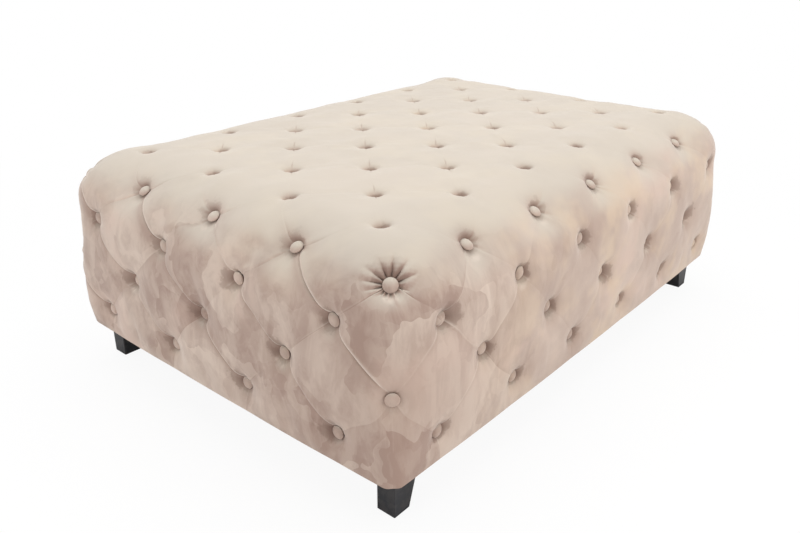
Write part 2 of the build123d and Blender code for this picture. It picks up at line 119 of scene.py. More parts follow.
# The body's smooth outside without its tufts. u and v count half bays across the top
# and go on down the sides, so |v| past the edge row is the front or the back.
def bodySurface(u, v):
    long, wide, top = body["halfLength"], body["halfWidth"], body["top"]
    downV, downU = np.clip(np.abs(v) - edgeRow, 0, None), np.clip(np.abs(u) - edgeColumn, 0, None)
    down = np.maximum(downU, downV)
    share = np.clip(down, 0, 1)
    lastX = body["topColumn"] + (body["sideColumn"] - body["topColumn"]) * share
    lastY = body["topRow"] + (body["sideRow"] - body["topRow"]) * share
    c, r = body["columns"], body["rows"]

    def across(n, last, outer, count):
        n = np.clip(np.abs(n), 0, count + 1)
        return np.where(n <= count, last * n / count, last + (outer - last) * (n - count))

    x = np.sign(u) * across(u, lastX, long, c)
    y = np.sign(v) * across(v, lastY, wide, r)
    z = np.interp(down, (0, 1, 2, 3, 3.5), body["rowHeights"])
    nearCorner = smooth((np.abs(u) - c + 1) / 2) * smooth((np.abs(v) - r + 1) / 2)
    nearest = (u < 0) & (v < 0)
    atCorner = np.where(nearest, body["nearCornerRound"], body["otherCornerRound"])
    atPlan = np.where(nearest, body["nearCornerRound"], body["otherPlanRound"])
    atHem = np.where(nearest, body["nearHemRound"], body["otherHemRound"])
    atMiddle = np.where(nearest, body["nearUpright"], body["otherUpright"])
    edge = body["edgeRound"] + (atCorner - body["edgeRound"]) * nearCorner
    plan = edge + (atPlan - atCorner) * nearCorner
    upright = atHem + (atMiddle - atHem) * rising(z, *body["uprightBlend"])
    radius = upright + (plan - upright) * rising(z, *body["planBlend"])
    core = np.stack([np.clip(x, radius - long, long - radius), np.clip(y, radius - wide, wide - radius),
                     np.minimum(z, top - edge)], -1)
    reach = np.stack([radius, radius, edge], -1)
    offset = (np.stack([x, y, z], -1) - core) / reach
    offset /= np.linalg.norm(offset, axis=-1, keepdims=True)
    point = core + offset * reach
    normal = offset / reach
    normal /= np.linalg.norm(normal, axis=-1, keepdims=True)
    middle = body["rowHeights"][2]
    tuck = body["hemTuck"] * np.clip((middle - z) / (middle - body["hem"]), 0, 1) ** 2
    easeX, easeY = (point[..., 0] / long) ** 2, (point[..., 1] / wide) ** 2
    fuller = 1 - 0.85 * nearCorner
    crown = body["topCrown"] * (1 - (1 - easeX) * (1 - easeY)) + body["topSag"]
    point[..., 2] -= crown * fuller * rising(z, *body["crownBlend"])
    facingX = normal[..., 0] ** 2 / (normal[..., 0] ** 2 + normal[..., 1] ** 2 + 1e-9)
    calm = 1 - 0.7 * rising(z, *body["calmBlend"]) * nearCorner
    tuck = tuck + body["sideCrown"] * (facingX * easeY + (1 - facingX) * easeX) ** 1.5 * calm
    atTurn = 4 * (normal[..., 0] * normal[..., 1]) ** 2 * np.where(nearest, 0.2, 1)
    low = np.clip(1 - (z - body["hem"]) / body["cornerTuckHeight"], 0, 1)
    tuck += body["cornerTuck"] * atTurn * low ** 2
    point[..., :2] -= normal[..., :2] * tuck[..., None]
    return point, normal


# The tufted cover: each diamond between four buttons is a woven grid of points, closer
# together at its folds. The numbers are metres, apart from shares and counts.
cover = {
    "grid": 23, "hemGrid": 16, "crowd": 0.74,
    "diamondSide": 0.135, "hemSide": 0.13, "hemReach": 0.094, "weld": 0.00004,
    "topFlat": 0.0066, "sideFlat": 0.0090, "halo": 0.07, "haloReach": 0.030, "seatUnder": 0.0068,
    "funnel": {"top": 0.0044, "edge": 0.0125, "front": 0.0112, "back": 0.0112,
               "left": 0.0115, "right": 0.0115, "corner": 0.015},
    "cornerFunnel": 0.021, "farFromButton": 0.13, "shortCrease": 0.030, "glintAt": 0.019, "glintWidth": 0.006,
    "puffTop": 0.0002, "puffFront": 0.0004, "puffEnd": 0.0026, "crease": 0.0010, "creaseWidth": 0.0012,
    "creaseTop": 0.04, "creaseFront": 0.5, "creaseEnd": 1.2,
    "lip": 0.0010, "lipWidth": 0.0040, "foldHighlight": 0.0030, "foldShade": 0.013,
    "wander": 0.0035, "waves": 0.0009,
    "gather": {"top": 0.0012, "edge": 0.0024, "front": 0.0024, "back": 0.0024,
               "left": 0.0018, "right": 0.0018, "corner": 0.0018},
    "gatherReach": 0.012, "pleats": 6, "pleatDepth": 0.0066, "pleatEnd": 0.050, "pleatLift": 0.009,
    "pleatFrom": 0.008, "pleatFull": 0.014, "pleatRings": (0.001, -0.009),
    "topSeam": 0.0011, "seamWidth": 0.0010, "deepFold": 1.9, "thinFold": 0.5, "foldBlend": 0.002,
}
# Distances from a button at which a blend starts, and how far out it takes
fades = {
    "pull": (0.09, 0.04), "calm": (0.008, 0.05), "starts": (0.010, 0.008), "thinCrease": (0.020, 0.026),
    "gather": (0.007, 0.006),
}


# Shares from 0 to 1, closer together at both ends
def crowded(count):
    t = np.linspace(0, 1, count + 1)
    return t - cover["crowd"] * np.sin(2 * math.pi * t) / (2 * math.pi)


# Slow waves that never repeat at the body's scale, the same in each run
def ripples(points, size, seed):
    random = np.random.default_rng(seed)
    total = np.zeros(points.shape[:-1])
    for n in range(7):
        way = random.normal(size=3)
        way /= np.linalg.norm(way)
        turns = 2 * math.pi / (size * random.uniform(0.7, 1.5))
        total += np.sin(points @ way * turns + random.uniform(0, 6.3))
    return total / 7 ** 0.5


# Where each button pulls the cloth down to, and the point of the smooth outside above it
def seatTable():
    keys = sorted(spots)
    rows = []
    for key in keys:
        zone, tip, out = spots[key]
        out = Vector(out).normalized()
        u, v = float(key[0]), float(key[1])
        flat, n = bodySurface(np.array([u]), np.array([v]))
        rows.append((zone, np.array(Vector(tip) - out * cover["seatUnder"]), flat[0], np.array(out), key))
    return rows


seats = seatTable()


# Pulls points of the smooth outside in at the buttons, along the folds and between them. It
# gives the points, how far each is into a dimple, which sets the painted shade there, and the
# painted highlight (over 0) or painted shade (under 0) of its folds, thin creases and the lips under the buttons.
def tuft(u, v, foldShare, creaseSide, creaseFade, weight, seamSide):
    flat, normal = bodySurface(u, v)
    shape = flat.shape[:-1]
    flat, normal = flat.reshape(-1, 3), normal.reshape(-1, 3)
    foldShare, creaseSide, creaseFade, weight, seamSide = (
        np.broadcast_to(a, shape).reshape(-1) for a in (foldShare, creaseSide, creaseFade, weight, seamSide))
    inside = smooth(np.minimum(edgeRow - 1 - np.abs(v), edgeColumn - 1 - np.abs(u))).reshape(-1)
    point = flat.copy()
    dimpleShade = np.zeros(len(flat))
    gathers, seamed, glint = np.zeros(len(flat)), np.zeros(len(flat)), np.zeros(len(flat))
    calm, starts, short = np.ones(len(flat)), np.ones(len(flat)), np.zeros(len(flat))
    for n, (zone, seat, onSurface, out, key) in enumerate(seats):
        away = flat - onSurface
        distance = np.linalg.norm(away, axis=1)
        near = distance < cover["farFromButton"]
        if not near.any():
            continue
        r = distance[near]
        high = zone == "edge" and abs(key[0]) == edgeColumn and abs(key[1]) == edgeRow
        nearest = high and key[0] < 0 and key[1] < 0
        reach = cover["cornerFunnel"] if nearest else cover["funnel"][zone]
        rim = cover["topFlat"] if zone == "top" else cover["sideFlat"]
        halo = cover["halo"] if zone == "top" else cover["halo"] / 2
        pastRim = np.clip(r - rim, 0, None)
        pull = (1 - halo) * np.exp(-pastRim / reach) + halo * np.exp(-(r / cover["haloReach"]) ** 2)
        pull *= 1 - rising(r, *fades["pull"])
        point[near] += pull[:, None] * (seat - onSurface)
        calm[near] = np.minimum(calm[near], rising(r, *fades["calm"]))
        starts[near] = np.minimum(starts[near], rising(r, *fades["starts"]))
        short[near] = np.maximum(short[near], np.exp(-r / cover["shortCrease"]))
        side = np.cross(out, (0, 0, 1)) if abs(out[2]) < 0.9 else np.array((1.0, 0, 0))
        side /= np.linalg.norm(side)
        rise = np.cross(side, out)
        angle = np.arctan2(away[near] @ rise, away[near] @ side)
        random = np.random.default_rng(500 + n)
        folds = random.integers(4, 6)
        turn = random.uniform(0, 6.3, 3)
        # Each dimple's painted shade reaches further to one side of its button, up the face at the edge row
        shadeToward = np.array((0, 1.0, 0)) if abs(out[0]) > abs(out[1]) else np.array((1.0, 0, 0))
        if zone == "edge":
            shadeToward = (0 if high else 0.5) * shadeToward + (0, 0, 1)
        veer = random.uniform(-0.8, 0.8) * (0.3 if zone == "edge" else 1)
        towards = np.cos(angle - math.atan2(shadeToward @ rise, shadeToward @ side) - veer)
        fan = 0.85 + random.uniform(0.1, 1.7) * np.clip(towards, 0, None) ** 2 + 0.25 * np.sin(angle + 0.5)
        if nearest:
            fan = 0.25 + np.clip(towards + 0.35, 0, None)
        hollowShade = np.exp(-pastRim / (reach * fan))
        if zone == "corner" and key[0] < 0 and key[1] < 0:
            hollowShade *= 0.35
        if zone == "top":
            seamed[near] = np.maximum(seamed[near], 1 - rising(r, *fades["thinCrease"]))
        else:
            # Painted highlight on the lip under each side button, which turns up to the light
            lit = 1.3 if nearest else random.uniform(0.1, 1.0)
            ring = np.exp(-((r - cover["glintAt"]) / cover["glintWidth"]) ** 2)
            under = np.clip(-np.sin(angle), 0, 1) ** 1.5 * ring
            glint[near] = np.maximum(glint[near], lit * under)
        dimpleShade[near] = np.maximum(dimpleShade[near], hollowShade)
        bent = angle + 0.30 * np.sin(angle + turn[0]) + 0.16 * np.sin(2 * angle + turn[1])
        valley = 1 - np.abs(np.sin(folds * bent + turn[2])) ** 0.75
        depth = 0 if high else cover["gather"][zone]
        strength = rising(r, *fades["gather"])
        strength *= np.exp(-np.clip(r - cover["gatherReach"], 0, None) / cover["gatherReach"])
        strength *= 0.55 + 0.45 * np.sin(3 * angle + turn[1]) ** 2
        gathers[near] += depth * valley * strength
    crease = cover["crease"] * np.exp(-np.abs(creaseSide) / cover["creaseWidth"])
    past = creaseSide / cover["lipWidth"]
    lip = cover["lip"] * (creaseSide > 0) * past * np.exp(1 - past)
    facing = normal ** 2
    puff = facing @ (cover["puffEnd"], cover["puffFront"], cover["puffTop"])
    nearEnd = 0.05 + 0.95 * rising(-flat[:, 0], 0.28, 0.20)
    creasing = (facing * np.stack([np.ones(len(flat)), nearEnd, nearEnd], -1)) @ (
        cover["creaseEnd"], cover["creaseFront"], cover["creaseTop"])
    creasing = creasing * (0.15 + 0.85 * smooth(0.5 + ripples(flat, 0.22, 9))) + 0.5 * short * (1 - 0.8 * facing[:, 2])
    sink = puff * foldShare + (crease - lip) * creaseFade * weight * starts * creasing + gathers
    thinCrease = inside * seamed * starts * np.exp(-seamSide / cover["seamWidth"])
    sink += cover["topSeam"] * thinCrease
    straight = rising(flat[:, 2], body["hem"], 0.035)
    sink += cover["waves"] * calm * straight * (ripples(flat, 0.10, 3) + 0.35 * ripples(flat, 0.035, 4))
    point -= normal * sink[:, None]
    wander = np.stack([ripples(flat, 0.16, 11 + axis) for axis in range(3)], -1)
    wander -= normal * np.sum(wander * normal, axis=1, keepdims=True)
    point += wander * (cover["wander"] * calm * straight * creaseFade)[:, None]
    # Painted highlight on the side of each fold that laps over and painted shade on the side under it; painted
    # highlights on the lips under the buttons and painted shade along the thin creases on top
    foldHighlight = np.exp(-np.clip(creaseSide, 0, None) / cover["foldHighlight"]) * (creaseSide > 0)
    foldShade = np.exp(np.clip(creaseSide, None, 0) / cover["foldShade"]) * (creaseSide < 0)
    paintedShading = (foldHighlight - foldShade) * creaseFade * weight * np.clip(creasing, 0, 1) + 0.6 * glint - thinCrease
    return point.reshape(*shape, 3), dimpleShade.reshape(shape), paintedShading.reshape(shape)


# Lets the cover settle: a coarse weave of the same patches is held at its buttons and its
# hem, filled with air and simulated, and its small movement is kept for the fine weave
settle = {
    "grid": 8, "hemGrid": 6, "frames": 16, "weld": 0.0001, "held": 0.017, "hemHeld": 0.012, "cap": 0.004,
    "quality": 6, "mass": 0.3, "stiffness": 20, "bending": 2.0, "damping": 6.0, "pressure": 0.9, "slack": -0.007,
    "topCalm": 0.75, "topBlend": (0.40, 0.03), "frontCalm": 0.7, "frontBlend": (0.38, 0.03),
}


def settleCover():
    fine = {key: cover[key] for key in ("grid", "hemGrid")}
    cover.update({key: settle[key] for key in fine})
    weaveCover()
    cover.update(fine)
    coarse = [place for place, dimpleShade, paintedShading, tone in patches]
    piece = coverMesh()
    patches.clear()
    only(piece)
    bpy.ops.object.mode_set(mode="EDIT")
    bpy.ops.mesh.select_all(action="SELECT")
    bpy.ops.mesh.remove_doubles(threshold=settle["weld"])
    bpy.ops.mesh.normals_make_consistent(inside=False)
    bpy.ops.object.mode_set(mode="OBJECT")
    rest = np.array([v.co for v in piece.data.vertices])
    seatPoints = np.array([row[1] for row in seats])
    group = piece.vertex_groups.new(name="held")
    for n, co in enumerate(rest):
        nearest = np.min(np.linalg.norm(seatPoints - co, axis=1))
        if nearest < settle["held"] or co[2] < body["hem"] + settle["hemHeld"]:
            group.add([n], 1.0, "REPLACE")
    cloth = piece.modifiers.new("settling", "CLOTH")
    cloth.settings.quality, cloth.settings.mass = settle["quality"], settle["mass"]
    cloth.settings.tension_stiffness = cloth.settings.compression_stiffness = settle["stiffness"]
    cloth.settings.bending_stiffness = settle["bending"]
    cloth.settings.air_damping = settle["damping"]
    cloth.settings.shrink_min = settle["slack"]
    cloth.settings.use_pressure = True
    cloth.settings.uniform_pressure_force = settle["pressure"]
    cloth.settings.effector_weights.gravity = 0
    cloth.settings.vertex_group_mass = "held"
    cloth.collision_settings.use_collision = False
    cloth.point_cache.frame_end = settle["frames"]
    for n in range(1, settle["frames"] + 1):
        bpy.context.scene.frame_set(n)
    bpy.ops.object.modifier_apply(modifier=cloth.name)
    bpy.context.scene.frame_set(1)
    moved = np.array([v.co for v in piece.data.vertices]) - rest
    size = np.linalg.norm(moved, axis=1, keepdims=True)
    print("cover settled: moved up to", round(float(size.max()) * 1000, 1), "mm, usually",
          round(float(np.median(size)) * 1000, 1), "mm")
    moved *= np.minimum(1, settle["cap"] / np.maximum(size, 1e-9))
    moved *= 1 - settle["topCalm"] * rising(rest[:, 2:], *settle["topBlend"])
    moved *= 1 - settle["frontCalm"] * rising(np.abs(rest[:, 1:2]), *settle["frontBlend"])
    tree = KDTree(len(rest))
    for n, co in enumerate(rest):
        tree.insert(co, n)
    tree.balance()
    moves = [np.array([moved[tree.find(co)[1]] for co in place.reshape(-1, 3)]).reshape(place.shape)
             for place in coarse]
    bpy.data.objects.remove(piece)
    return moves


# Reads a coarse grid of moves at a fine grid's points, along smooth curves
def finer(move, rows, columns):
    for count in (rows, columns):
        last = len(move) - 1
        t = np.linspace(0, last, count)
        k = np.minimum(t.astype(int), last - 1)
        f = (t - k).reshape(-1, 1, 1)
        before, after = move[np.maximum(k - 1, 0)], move[np.minimum(k + 2, last)]
        here, there = move[k], move[k + 1]
        move = 0.5 * (2 * here + (there - before) * f + (2 * before - 5 * here + 4 * there - after) * f ** 2
                      + (3 * here - before - 3 * there + after) * f ** 3)
        move = move.transpose(1, 0, 2)
    return move


# How full a patch is across its width: 0 at its folds, 1 midway
def foldDepth(t):
    return 1 - np.abs(2 * t - 1) ** 3


# Distance in metres to the nearest fold of a diamond, positive on the side whose cloth lies
# over its neighbour's, and how deep the folds are there
def signedFold(p, q, over, weights):
    sides = np.stack([q, 1 - p, 1 - q, p], -1) * cover["diamondSide"]
    nearest = np.argmin(sides, axis=-1)
    distance = np.min(sides, axis=-1)
    shares = np.exp((distance[..., None] - sides) / cover["foldBlend"])
    return (distance * np.where(np.take(np.array(over), nearest) > 0, 1, -1),
            shares @ np.array(weights) / shares.sum(-1))


# On the two ends the cloth is pulled one way, so one set of folds is deep and the other thin
def foldWeight(a, b):
    if min(abs(a[0]), abs(b[0])) < edgeColumn:
        return 1.0
    return cover["deepFold"] if (b[0] - a[0]) * (b[1] - a[1]) > 0 else cover["thinFold"]


patches = []


def addPatch(u, v, foldShare, creaseSide, creaseFade, weight, tone, seamSide=1.0):
    place, dimpleShade, paintedShading = tuft(u, v, foldShare, creaseSide, creaseFade, weight, seamSide)
    patches.append((place, dimpleShade, paintedShading, tone))


# The cloth between four buttons
def diamondPatch(ring, over, tone):
    steps = crowded(cover["grid"])
    p, q = np.meshgrid(steps, steps, indexing="ij")
    (au, av), (bu, bv), (cu, cv), (du, dv) = ring
    u = au * (1 - p) * (1 - q) + bu * p * (1 - q) + cu * p * q + du * (1 - p) * q
    v = av * (1 - p) * (1 - q) + bv * p * (1 - q) + cv * p * q + dv * (1 - p) * q
    a, b, c, d = ring
    weights = [foldWeight(a, b), foldWeight(b, c), foldWeight(d, c), foldWeight(a, d)]
    side, weight = signedFold(p, q, over, weights)
    seamSide = np.minimum(p, 1 - p) * cover["diamondSide"]
    addPatch(u, v, 1 - foldDepth(p) * foldDepth(q), side, 1.0, weight, tone, seamSide)


# The cloth between two buttons and the hem
def hemPatch(upper, lower, tone):
    p, q = np.meshgrid(crowded(cover["grid"]), np.linspace(0, 1, cover["hemGrid"] + 1) ** 1.25, indexing="ij")
    (au, av), (bu, bv) = upper, lower
    sideways = abs(av) > edgeRow
    hemAt = (edgeRow if sideways else edgeColumn) + 3.5
    hu, hv = (au * (1 - p) + bu * p, av * (1 - p) + bv * p)
    if sideways:
        u, v = hu, hv * (1 - q) + math.copysign(hemAt, av) * q
    else:
        u, v = hu * (1 - q) + math.copysign(hemAt, au) * q, hv
    puff = (1 - p ** 3) * (1 - (1 - q) ** 3)
    toFold, toPleat = q * cover["hemSide"], (1 - p) * cover["hemReach"]
    away = np.minimum(toFold, toPleat)
    onFold = toFold <= toPleat
    fade = (1 - q) ** 0.7
    weight = np.where(onFold, foldWeight(upper, lower), 1.0)
    side = np.where(onFold, -away, away * np.sign(bu + bv + 0.01))
    addPatch(u, v, (1 - puff) * fade, side, fade, weight, tone)


# Lays out all the patches, each with a random tone
def weaveCover():
    random = np.random.default_rng(77)
    c, r = body["columns"], body["rows"]
    for i in range(-c - 3, c + 4):
        for j in range(-r - 3, r + 4):
            onTop = abs(i) <= c and abs(j) <= r
            onSide = (abs(i) <= c and r < abs(j) <= r + 3) or (abs(j) <= r and c < abs(i) <= c + 3)
            if (i + j) % 2 == 1 and (onTop or onSide):
                tone = random.uniform(-1, 1)
                diamondPatch([(i - 1, j), (i, j - 1), (i + 1, j), (i, j + 1)], foldsOver(i, j), tone)
    for s in (-1, 1):
        for i in range(-edgeColumn, edgeColumn + 1):
            if (i + edgeRow) % 2 == 0:
                tone = random.uniform(-1, 1)
                for step in (-1, 1):
                    if abs(i + step) <= c:
                        hemPatch((i, s * (edgeRow + 2)), (i + step, s * (edgeRow + 3)), tone)
        for j in range(-edgeRow, edgeRow + 1):
            if (j + edgeColumn) % 2 == 0:
                tone = random.uniform(-1, 1)
                for step in (-1, 1):
                    if abs(j + step) <= r:
                        hemPatch((s * (edgeColumn + 2), j), (s * (edgeColumn + 3), j + step), tone)
        for t in (-1, 1):
            cornerPatch(s, t, random.uniform(-1, 1))


# Which of a diamond's four folds lie over their neighbour: on the sides the upper cloth
# laps down over the lower, on top the cloth laps towards the front
def foldsOver(i, j):
    r, c = body["rows"], body["columns"]
    if abs(j) > r:
        return (-1, -1, 1, 1) if (j > 0) else (1, 1, -1, -1)
    if abs(i) > c:
        return (-1, 1, 1, -1) if (i > 0) else (1, -1, -1, 1)
    return (1, 1, -1, -1)


# The diamond that is folded round a corner, one half on each side
def cornerPatch(s, t, tone):
    steps = crowded(cover["grid"])
    p, q = np.meshgrid(steps, steps, indexing="ij")
    onFront = p >= q
    u = np.where(onFront, edgeColumn - (p - q), edgeColumn + (p + q)) * s
    v = np.where(onFront, edgeRow + (p + q), edgeRow - (q - p)) * t
    share = 1 - foldDepth(p) * foldDepth(q)
    c, r = edgeColumn, edgeRow
    weights = [1.0, 1.0, foldWeight((s * (c + 1), t * (r - 1)), (s * (c + 2), t * r)),
               foldWeight((s * c, t * r), (s * (c + 1), t * (r - 1)))]
    side, weight = signedFold(p, q, (-1, 1, 1, -1), weights)
    addPatch(u, v, share, side, 1.0, weight, tone)


def coverMesh():
    points, faces, dimples, folds, tones, base = [], [], [], [], [], 0
    for place, dimpleShade, paintedShading, tone in patches:
        rows, columns = dimpleShade.shape
        index = np.arange(rows * columns).reshape(rows, columns) + base
        quads = np.stack([index[:-1, :-1], index[1:, :-1], index[1:, 1:], index[:-1, 1:]], -1).reshape(-1, 4)
        points.append(place.reshape(-1, 3))
        dimples.append(dimpleShade.reshape(-1))
        folds.append(paintedShading.reshape(-1))
        faces.append(quads)
        tones.append(np.full(len(quads), tone))
        base += rows * columns
    mesh = bpy.data.meshes.new("tuftedCover")
    mesh.from_pydata(np.concatenate(points).tolist(), [], np.concatenate(faces).tolist())
    for name, domain, values in (("dimpleShade", "POINT", dimples), ("paintedShading", "POINT", folds), ("tone", "FACE", tones)):
        attribute = mesh.attributes.new(name, "FLOAT", domain)
        attribute.data.foreach_set("value", np.concatenate(values).astype(np.float32))
    piece = bpy.data.objects.new("tuftedCover", mesh)
    bpy.context.scene.collection.objects.link(piece)
    return piece


def only(piece):
    bpy.ops.object.select_all(action="DESELECT")
    piece.select_set(True)
    bpy.context.view_layer.objects.active = piece


# The cloth is gathered into sharp pleats round the buttons of the four high corners
def pleatCorners(mesh):
    mesh.normal_update()
    for n, (zone, seat, onSurface, out, key) in enumerate(seats):
        if zone != "edge" or abs(key[0]) != edgeColumn or abs(key[1]) != edgeRow:
            continue
        centre = Vector(seat)
        axis = Vector(out)
        side = axis.cross(Vector((0, 0, 1))).normalized()
        rise = side.cross(axis)
        lifted = centre + rise * cover["pleatLift"]
        for beyond in cover["pleatRings"]:
            close = {v for v in mesh.verts if (v.co - lifted).length < cover["pleatEnd"] + beyond}
            near = [e for e in mesh.edges if e.verts[0] in close and e.verts[1] in close]
            bmesh.ops.subdivide_edges(mesh, edges=near, cuts=1, use_grid_fill=True)
        mesh.normal_update()
        turns = np.random.default_rng(900 + n).uniform(0, 6.3, 3)
        first, full = cover["pleatFrom"], cover["pleatFull"]
        moves = []
        for v in mesh.verts:
            away = v.co - centre
            r = math.sqrt(away.dot(side) ** 2 + away.dot(rise) ** 2)
            if (v.co - lifted).length > cover["pleatEnd"] or r < first:
                continue
            angle = math.atan2(away.dot(rise), away.dot(side))
            bent = angle + 0.32 * math.sin(angle + turns[0]) + 0.12 * math.sin(2 * angle + turns[1])
            valley = 1 - abs(math.sin(cover["pleats"] * bent + turns[2])) ** 0.6
            ends = cover["pleatEnd"] * (0.78 + 0.14 * math.sin(3 * angle + turns[2]) + 0.30 * math.sin(angle))
            fade = max(0.0, 1 - max(0.0, r - full) / (ends - full)) ** 1.3 * float(rising(r, first, full - first))
            moves.append((v, v.normal * (0.25 - valley) * cover["pleatDepth"] * fade))
        for v, move in moves:
            v.co += move


# The hem's turn under the frame, and the hidden inner face that closes the form clear of the wadding
hem = {
    "band": 0.01, "turn": (0.0012, 0.006), "cut": 0.018, "back": (0.526, 0.356), "backCut": 0.004,
    "thick": 0.0018, "weld": 0.00002,
}
inner = {"x": 0.5683, "y": 0.3983, "cut": 0.026, "round": 0.0913, "roundFrom": 0.312, "steps": 6}


# Sews the diamonds together, turns the hem under and closes the form
def sewCover(piece):
    only(piece)
    mesh = bmesh.new()
    mesh.from_mesh(piece.data)
    bmesh.ops.remove_doubles(mesh, verts=mesh.verts, dist=cover["weld"])
    lowest = body["hem"] + hem["band"]
    rim = [e for e in mesh.edges if e.is_boundary]
    low = [e for e in rim if max(v.co.z for v in e.verts) < lowest]
    print("hem edges:", len(low), "open edges elsewhere:", len(rim) - len(low))
    pleatCorners(mesh)
    low = [e for e in mesh.edges if e.is_boundary and max(v.co.z for v in e.verts) < lowest]
    floor, turned = body["hem"], [v for v in mesh.verts if v.is_boundary]

    def loop(edges, move):
        made = bmesh.ops.extrude_edge_only(mesh, edges=edges)["geom"]
        for v in (g for g in made if isinstance(g, bmesh.types.BMVert)):
            v.co = move(v.co.copy())
            turned.append(v)
        return [g for g in made if isinstance(g, bmesh.types.BMEdge)]

    def inset(x, y, z, cut):
        def move(co):
            px, py = max(-x, min(x, co.x)), max(-y, min(y, co.y))
            over = (abs(px) + abs(py)) - (x + y - cut)
            if over > 0:
                px -= math.copysign(over / 2, px)
                py -= math.copysign(over / 2, py)
            return Vector((px, py, z))
        return move

    edges = low
    hemX, hemY = body["halfLength"] - body["hemTuck"], body["halfWidth"] - body["hemTuck"]
    for turn in hem["turn"]:
        edges = loop(edges, inset(hemX - turn, hemY - turn, floor, hem["cut"]))
    for z in (floor, floor + hem["thick"]):
        edges = loop(edges, inset(*hem["back"], z, hem["backCut"]))
    edges = loop(edges, inset(inner["x"], inner["y"], floor + hem["thick"], inner["cut"]))
    for n in range(inner["steps"] + 1):
        angle = math.pi / 2 * n / inner["steps"]
        ease = inner["round"] * (1 - math.cos(angle))
        z = inner["roundFrom"] + inner["round"] * math.sin(angle)
        edges = loop(edges, inset(inner["x"] - ease, inner["y"] - ease, z, inner["cut"]))
    bmesh.ops.contextual_create(mesh, geom=edges)
    bmesh.ops.remove_doubles(mesh, verts=turned, dist=hem["weld"])
    bmesh.ops.recalc_face_normals(mesh, faces=mesh.faces)
    mesh.to_mesh(piece.data)
    mesh.free()
    bpy.ops.object.shade_smooth_by_angle(angle=math.radians(60))


moves = settleCover()
weaveCover()
for n, move in enumerate(moves):
    place, dimpleShade, paintedShading, tone = patches[n]
    patches[n] = (place + finer(move, *dimpleShade.shape), dimpleShade, paintedShading, tone)
print("cover patches:", len(patches))
tuftedCover = coverMesh()
sewCover(tuftedCover)
print("cover sewn:", len(tuftedCover.data.polygons), "faces")

# A covered button, made once and copied to each place
button = {"radius": 0.0110, "dome": 0.0045, "under": 0.0052, "segments": 24, "rings": 12}


def makeButton():
    bpy.ops.object.select_all(action="DESELECT")
    bpy.ops.mesh.primitive_uv_sphere_add(segments=button["segments"], ring_count=button["rings"], radius=1)
    piece = bpy.context.active_object
    for v in piece.data.vertices:
        x, y, z = v.co
        turn = math.atan2(y, x)
        flat = math.hypot(x, y)
        if z >= -0.01:
            height = -button["dome"] + button["dome"] * (1 - flat ** 2.6)
            reach = button["radius"] * flat
        else:
            height = -button["dome"] - button["under"] * (-z) ** 0.8
            reach = button["radius"] * flat ** 0.8 * (1 - 0.05 * abs(math.sin(6 * turn)))
        v.co = (reach * math.cos(turn), reach * math.sin(turn), height)
    return piece


def copyButtons(model, zone):
    copies = []
    for key in sorted(spots):
        name, tip, out = spots[key]
        if name != zone:
            continue
        lean = 0.55 if zone == "edge" and 0 in out else 0
        out = (Vector(out) + Vector((0, 0, lean))).normalized()
        turn = out.to_track_quat("Z", "Y").to_matrix().to_4x4()
        spin = Matrix.Rotation((key[0] * 7 + key[1] * 3) % 11, 4, "Z")
        piece = bpy.data.objects.new("button", model.data.copy())
        piece.data.transform(Matrix.Translation(tip) @ turn @ spin)
        bpy.context.scene.collection.objects.link(piece)
        copies.append(piece)
    only(copies[0])
    for piece in copies:
        piece.select_set(True)
    bpy.ops.object.join()
    joined = bpy.context.active_object
    joined.name = "coveredButtons" + zone.capitalize()
    bpy.ops.object.shade_smooth_by_angle(angle=math.radians(70))
    return joined


buttonModel = makeButton()
coveredButtons = {zone: copyButtons(buttonModel, zone)
                  for zone in ("top", "edge", "front", "back", "left", "right", "corner")}
bpy.data.objects.remove(buttonModel)
print("buttons copied")


# One value of a shader graph. Arithmetic on it adds Math nodes.
class Signal:
    def __init__(self, finish, socket):
        self.finish, self.socket = finish, socket

    def maths(self, operation, first, second=0.0):
        return self.finish.node("ShaderNodeMath", {"operation": operation}, {0: first, 1: second})

    def __add__(self, other): return self.maths("ADD", self, other)
    def __radd__(self, other): return self.maths("ADD", other, self)
    def __sub__(self, other): return self.maths("SUBTRACT", self, other)
    def __rsub__(self, other): return self.maths("SUBTRACT", other, self)
    def __mul__(self, other): return self.maths("MULTIPLY", self, other)
    def __rmul__(self, other): return self.maths("MULTIPLY", other, self)
    def __pow__(self, other): return self.maths("POWER", self, other)

    def between(self, low, high):
        return self.finish.node("ShaderNodeMapRange", {"interpolation_type": "SMOOTHSTEP"},
                                {"Value": self, "From Min": low, "From Max": high})

    def other(self, output):
        return Signal(self.finish, self.socket.node.outputs[output])


def paint(red, green, blue):
    def linear(c):
        c /= 255
        return c / 12.92 if c <= 0.04045 else ((c + 0.055) / 1.055) ** 2.4
    return (linear(red), linear(green), linear(blue), 1)


